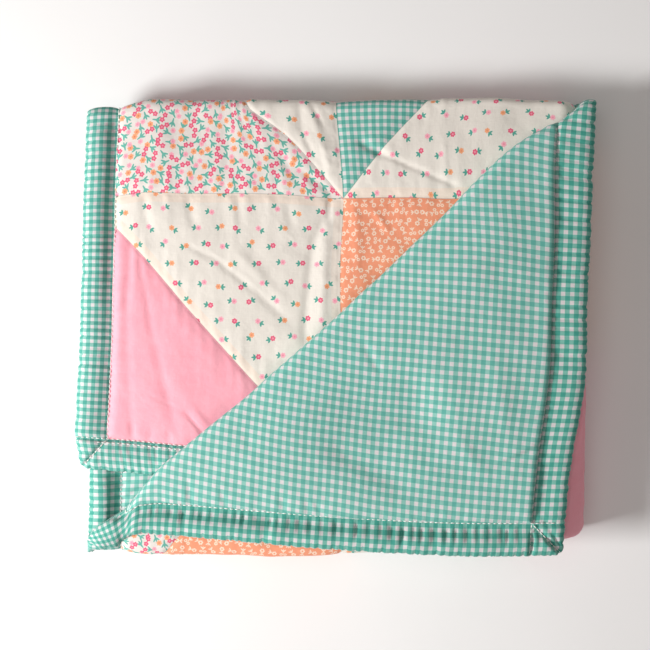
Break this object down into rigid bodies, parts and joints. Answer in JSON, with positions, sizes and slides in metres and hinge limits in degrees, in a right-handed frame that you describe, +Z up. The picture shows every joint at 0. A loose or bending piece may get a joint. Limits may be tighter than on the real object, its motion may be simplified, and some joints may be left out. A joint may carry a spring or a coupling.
{
  "type": "folded patchwork quilt",
  "caption": "Padded patchwork quilt folded into a flat stack, one corner turned back to show its checked backing.",
  "frame": {"origin": "middle of the folded quilt's underside, on the surface it lies on", "axes": "+Z up through the stack, +X towards the folded side, +Y towards the far fold; the turned corner's tip points to +X -Y"},
  "size_m": [0.5012, 0.4452, 0.0705],
  "materials": {
    "patchwork_cotton": "matte printed cotton",
    "gingham_cotton": "matte woven cotton check",
    "sewing_thread": "white cotton thread"
  },
  "bodies": {
    "root": {"quilt_panel": "patchwork_cotton", "border_left": "gingham_cotton", "border_right": "gingham_cotton", "border_hem": "gingham_cotton", "border_corner_end": "gingham_cotton"}
  },
  "joints": []
}
